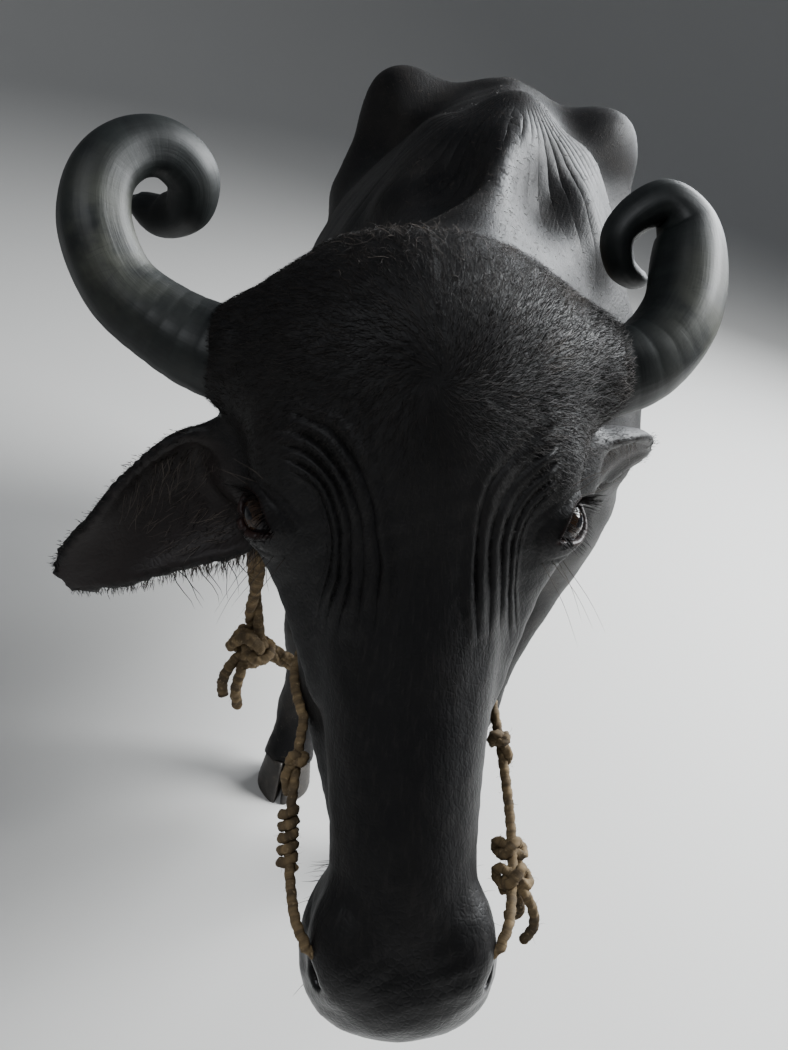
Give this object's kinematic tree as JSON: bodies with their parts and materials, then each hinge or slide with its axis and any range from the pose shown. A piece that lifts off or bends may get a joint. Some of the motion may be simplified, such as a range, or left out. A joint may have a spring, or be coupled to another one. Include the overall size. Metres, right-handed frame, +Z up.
{
  "type": "water buffalo",
  "caption": "Standing water buffalo cow with tightly coiled horns, head lowered and turned, wearing a rope through the nose and a knotted neck rope.",
  "frame": {"origin": "on the floor under the middle of the whole animal's box", "axes": "+Y from head to tail, +X to the animal's own left, +Z up"},
  "size_m": [0.6432, 2.3868, 1.3687],
  "materials": {
    "hide": "short sleek coat over bare skin, black to slate grey",
    "horn": "worn polished horn, grey green",
    "hoof": "dry dark horn",
    "eye": "wet dark brown",
    "hair": "coarse black hair",
    "udder": "bare grey skin",
    "rope": "twisted fibre rope, weathered brown"
  },
  "bodies": {
    "root": {"ear_left": "hide", "ear_right": "hide", "eye_left": "eye", "eye_right": "eye", "head": "hide", "hoof_fore_left_inner": "hoof", "hoof_fore_left_outer": "hoof", "hoof_fore_right_inner": "hoof", "hoof_fore_right_outer": "hoof", "hoof_hind_left_inner": "hoof", "hoof_hind_left_outer": "hoof", "hoof_hind_right_inner": "hoof", "hoof_hind_right_outer": "hoof", "horn_left": "horn", "horn_right": "horn", "leg_fore_left_lower": "hide", "leg_fore_left_upper": "hide", "leg_fore_right_lower": "hide", "leg_fore_right_upper": "hide", "leg_hind_left_lower": "hide", "leg_hind_left_upper": "hide", "leg_hind_right_lower": "hide", "leg_hind_right_upper": "hide", "neck": "hide", "neck_rope": "rope", "nose_rope": "rope", "tail": "hide", "tail_switch": "hair", "torso": "hide", "udder": "udder"}
  },
  "joints": []
}
